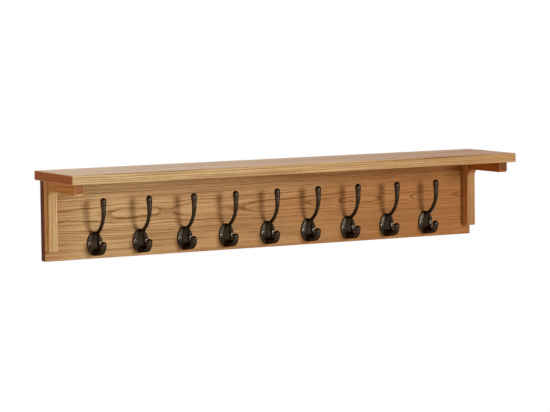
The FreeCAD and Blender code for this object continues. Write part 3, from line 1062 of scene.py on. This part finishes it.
def place_screws(name, body, rims, direction, nodes):
    """A group of screws driven along a direction, each turned its own way."""
    bm = bmesh.new()
    tilt = (-direction).to_track_quat("Z", "Y").to_matrix().to_4x4()
    for index, rim in enumerate(rims, start=1):
        turn = Matrix.Rotation(SCREW_TURN * index + rim.x * TURN_PER_METRE, 4, "Z")
        before = len(bm.verts)
        bm.from_mesh(body)
        bm.verts.ensure_lookup_table()
        bmesh.ops.transform(bm, matrix=Matrix.Translation(rim) @ tilt @ turn, verts=bm.verts[before:])
    screws = to_object(bm, name, smooth_below=math.radians(32))
    seat(screws, nodes, body.materials)


def rims_of(node, screw, direction, row):
    """The rims of the two heads in a node of screws, at the ends of its box along their row."""
    low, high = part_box(node)
    face = (low if direction.y > 0 else high).y
    reach = ((high - low).dot(row) - screw.head) / 2
    rims = []
    for side in (-1, 1):
        rim = centre_of(node) + row * (side * reach)
        rim.y = face + direction.y * screw.crown
        rims.append(rim)
    return rims


# Brackets

# Points of a fixed mesh closer than this are one
LOOSE_DISTANCE = 0.000005

# Faces that turn by less than the first angle are one, and edges that turn by more than the second are eased
FLAT_ANGLE = math.radians(1)
CORNER_ANGLE = math.radians(28)

# How far from the plane of a glued joint an edge may lie and still be part of it
JOINT_TOLERANCE = 0.00002


def eased_copy(node, name, joint):
    """A fixed node's own shape with its corners rounded over, apart from those in its glued joint."""
    bm = bmesh.new()
    bm.from_mesh(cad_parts[node].data)
    bmesh.ops.remove_doubles(bm, verts=bm.verts, dist=LOOSE_DISTANCE)
    bmesh.ops.dissolve_limit(bm, angle_limit=FLAT_ANGLE, verts=bm.verts, edges=bm.edges)
    bmesh.ops.recalc_face_normals(bm, faces=bm.faces)
    weight = bm.edges.layers.float.new("bevel_weight_edge")
    for edge in bm.edges:
        glued = all(abs(vert.co.z - joint) < JOINT_TOLERANCE for vert in edge.verts)
        edge[weight] = float(edge.calc_face_angle(0.0) > CORNER_ANGLE and not glued)
    piece = to_object(bm, name)
    ease = piece.modifiers.new("ease", "BEVEL")
    ease.width = settings("rack_oak").easing
    ease.segments = 3
    ease.limit_method = "WEIGHT"
    settle(piece)
    shade(piece.data, smooth_below=math.radians(30))
    return piece


# Stage

def world_light(strength, warmth):
    """Even light from all round, white where the camera or a gloss looks past the object."""
    world = bpy.data.worlds.new("studio")
    world.use_nodes = True
    tree = world.node_tree
    tree.nodes.clear()
    path = add(tree, "ShaderNodeLightPath")
    seen = compute(tree, "MAXIMUM", path.outputs["Is Camera Ray"], path.outputs["Is Glossy Ray"])
    seen = compute(tree, "MAXIMUM", seen, path.outputs["Is Transmission Ray"])
    light = add(tree, "ShaderNodeBackground", {"Color": (*warmth, 1.0), "Strength": strength})
    white = add(tree, "ShaderNodeBackground", {"Color": (1.0, 1.0, 1.0, 1.0), "Strength": 1.0})
    mixed = add(tree, "ShaderNodeMixShader", {0: seen, 1: light.outputs[0], 2: white.outputs[0]})
    out = tree.nodes.new("ShaderNodeOutputWorld")
    tree.links.new(mixed.outputs[0], out.inputs["Surface"])
    bpy.context.scene.world = world


def sun(name, towards, strength, breadth):
    """A soft distant light that shines along a direction."""
    lamp = bpy.data.lights.new(name, "SUN")
    lamp.energy = strength
    lamp.angle = breadth
    light = bpy.data.objects.new(name, lamp)
    light.rotation_euler = (-towards).to_track_quat("Z", "Y").to_euler()
    bpy.context.collection.objects.link(light)


def softbox(name, place, power, width, tone):
    """A square soft light that looks at the rack."""
    lamp = bpy.data.lights.new(name, "AREA")
    lamp.shape = "SQUARE"
    lamp.size = width
    lamp.energy = power
    lamp.color = tone
    light = bpy.data.objects.new(name, lamp)
    light.location = place
    light.rotation_euler = place.to_track_quat("Z", "Y").to_euler()
    bpy.context.collection.objects.link(light)


# Floor: its radius and sides, the radii between which it thins out, its haze and the colours of that
FLOOR_RADIUS = 4.3
FLOOR_SIDES = 96
FLOOR_FADE = (2.0, 4.2)
FLOOR_HAZE = even(3.0)
FLOOR_GREY = (0.86, 0.86, 0.85)
FLOOR_WHITE = (0.89, 0.89, 0.88)


def floor_material():
    """A pale plain floor that thins out to nothing towards its edge and isn't seen from below."""
    material, tree, shader, place = fresh_material("pale_floor", Roughness=0.9)
    haze = speckle(tree, place, FLOOR_HAZE, detail=2.0)
    paint(tree, shader, tint(tree, haze, FLOOR_GREY, FLOOR_WHITE))
    flat = add(tree, "ShaderNodeVectorMath", {0: place, 1: (1.0, 1.0, 0.0)}, operation="MULTIPLY").outputs[0]
    radius = add(tree, "ShaderNodeVectorMath", {0: flat}, operation="LENGTH").outputs["Value"]
    below = add(tree, "ShaderNodeNewGeometry").outputs["Backfacing"]
    solid = compute(tree, "SUBTRACT", spread(tree, radius, *FLOOR_FADE, 1.0, 0.0), below)
    tree.links.new(compute(tree, "MAXIMUM", solid, 0.0), shader.inputs["Alpha"])
    return material


def camera_matrix(studio):
    """The camera's place and turn."""
    level = Vector((math.sin(studio.yaw), math.cos(studio.yaw), 0))
    right = Vector((math.cos(studio.yaw), -math.sin(studio.yaw), 0))
    ahead = level * math.cos(studio.pitch) - UP * math.sin(studio.pitch)
    above = right.cross(ahead)
    side = right * math.cos(studio.roll) - above * math.sin(studio.roll)
    top = right * math.sin(studio.roll) + above * math.cos(studio.roll)
    turn = Matrix((side, top, -ahead)).transposed().to_4x4()
    return Matrix.Translation(Vector(studio.camera_place)) @ turn


# Operators

class RACK_OT_boards(bpy.types.Operator):
    """Finish the back board and the shelf in oiled oak"""

    bl_idname = "rack.boards"
    bl_label = "Oil the Boards"

    def execute(self, context):
        dress("back_board", oak_material("oak_board", BOARD_OAK))
        dress("shelf_board", oak_material("oak_shelf", SHELF_OAK))
        return {"FINISHED"}


class RACK_OT_brackets(bpy.types.Operator):
    """Saw the two brackets and finish them in oiled oak"""

    bl_idname = "rack.brackets"
    bl_label = "Saw the Brackets"

    def execute(self, context):
        parts = (
            ("bracket_", "oak_bracket", oak_material("oak_leg", LEG_OAK)),
            ("bracket_arm_", "oak_arm", oak_material("oak_arm", ARM_OAK)),
        )
        for side in SIDES:
            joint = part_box("bracket_arm_" + side)[0].z
            for stem, slot, finish in parts:
                piece = eased_copy(stem + side, "eased_" + stem + side, joint)
                seat(piece, [stem + side], [finish])
        return {"FINISHED"}


class RACK_OT_hooks(bpy.types.Operator):
    """Cast one double hook and set nine copies of it on the board"""

    bl_idname = "rack.hooks"
    bl_label = "Cast the Hooks"

    def execute(self, context):
        finish = iron_material()
        casting = hook_casting()
        for index, place in enumerate(hook_places(), start=1):
            mesh = casting.data.copy()
            mesh.transform(Matrix.Translation(place))
            hook = bpy.data.objects.new(f"cast_hook_{index}", mesh)
            context.collection.objects.link(hook)
            seat(hook, [f"hook_{index}"], [finish])
        bpy.data.objects.remove(casting)
        return {"FINISHED"}


class RACK_OT_screws(bpy.types.Operator):
    """Turn the cross-head screws and drive them in"""

    bl_idname = "rack.screws"
    bl_label = "Drive the Screws"

    def execute(self, context):
        nickel = plated_material("nickel", NICKEL)
        steel = plated_material("steel", STEEL)
        recess_shade = painted_recess_shade_material()
        plated = screw_body(HOOK_SCREW, "hook_screw", nickel, recess_shade)
        for index in range(1, HOOK_COUNT + 1):
            node = f"hook_screws_{index}"
            rims = rims_of(node, HOOK_SCREW, INWARD, EAST)
            place_screws(f"plated_screws_{index}", plated.data, rims, INWARD, [node])
        for stem, screw in (("bracket_screws_", BRACKET_SCREW), ("hanger_screws_", HANGER_SCREW)):
            body = screw_body(screw, stem + "body", steel, recess_shade)
            for side in SIDES:
                rims = rims_of(stem + side, screw, OUTWARD, UP)
                place_screws("cross_" + stem + side, body.data, rims, OUTWARD, [stem + side])
            bpy.data.objects.remove(body)
        bpy.data.objects.remove(plated)
        return {"FINISHED"}


class RACK_OT_hangers(bpy.types.Operator):
    """Finish the keyhole plates in zinc"""

    bl_idname = "rack.hangers"
    bl_label = "Plate the Hangers"

    def execute(self, context):
        zinc = plated_material("zinc_plate", ZINC)
        for side in SIDES:
            dress("hanger_plate_" + side, zinc)
        return {"FINISHED"}


class RACK_OT_dowels(bpy.types.Operator):
    """Finish the dowels in plain beech"""

    bl_idname = "rack.dowels"
    bl_label = "Turn the Dowels"

    def execute(self, context):
        beech = beech_material()
        stems = ("bracket_dowels_", "bracket_joint_dowel_")
        for node in ("board_dowels", *(stem + side for stem in stems for side in SIDES)):
            dress(node, beech)
        return {"FINISHED"}


class RACK_OT_stage(bpy.types.Operator):
    """Set up the floor, the lights and the camera"""

    bl_idname = "rack.stage"
    bl_label = "Light the Stage"

    def execute(self, context):
        studio = settings("rack_studio")
        bm = bmesh.new()
        bmesh.ops.create_circle(bm, cap_ends=True, segments=FLOOR_SIDES, radius=FLOOR_RADIUS)
        bmesh.ops.translate(bm, verts=bm.verts, vec=Vector((0, 0, cad_bounds[0].z - studio.floor_drop)))
        floor = to_object(bm, "floor")
        floor.data.materials.append(floor_material())
        world_light(studio.ambient, studio.warmth)
        softbox("key_light", Vector(studio.key_place), studio.key, studio.key_width, studio.key_colour)
        softbox("fill_light", Vector(studio.fill_place), studio.fill, studio.fill_width, studio.fill_colour)
        overhead = Vector(studio.overhead_course).normalized()
        sun("overhead_light", overhead, studio.overhead, studio.overhead_breadth)
        lens = bpy.data.cameras.new("camera")
        lens.sensor_fit = "HORIZONTAL"
        lens.lens = studio.lens
        camera = bpy.data.objects.new("camera", lens)
        camera.matrix_world = camera_matrix(studio)
        context.collection.objects.link(camera)
        context.scene.camera = camera
        context.scene.view_settings.view_transform = "Standard"
        return {"FINISHED"}


OPERATORS = (
    RACK_OT_boards, RACK_OT_brackets, RACK_OT_hooks, RACK_OT_screws,
    RACK_OT_hangers, RACK_OT_dowels, RACK_OT_stage,
)


class RACK_PT_panel(bpy.types.Panel):
    """The rack's pieces in the sidebar"""

    bl_idname = "RACK_PT_panel"
    bl_label = "Coat Rack"
    bl_space_type = "VIEW_3D"
    bl_region_type = "UI"
    bl_category = "Coat Rack"

    def draw(self, context):
        for operator in OPERATORS:
            self.layout.operator(operator.bl_idname)
        for group in GROUPS:
            box = self.layout.box()
            for name in GROUPS[group].__annotations__:
                box.prop(getattr(context.scene, group), name)


GROUPS = {"rack_oak": RackOak, "rack_iron": RackIron, "rack_hook": RackHook, "rack_studio": RackStudio}
CLASSES = (*GROUPS.values(), *OPERATORS, RACK_PT_panel)


def register():
    """Make the classes and the scene's settings known."""
    for item in CLASSES:
        bpy.utils.register_class(item)
    for name, group in GROUPS.items():
        setattr(bpy.types.Scene, name, PointerProperty(type=group))


def unregister():
    """Take them away again."""
    for name in GROUPS:
        delattr(bpy.types.Scene, name)
    for item in reversed(CLASSES):
        bpy.utils.unregister_class(item)


def main():
    """Build every piece in order."""
    register()
    bpy.ops.rack.boards()
    bpy.ops.rack.brackets()
    bpy.ops.rack.hooks()
    bpy.ops.rack.screws()
    bpy.ops.rack.hangers()
    bpy.ops.rack.dowels()
    bpy.ops.rack.stage()


if __name__ == "__main__":
    main()
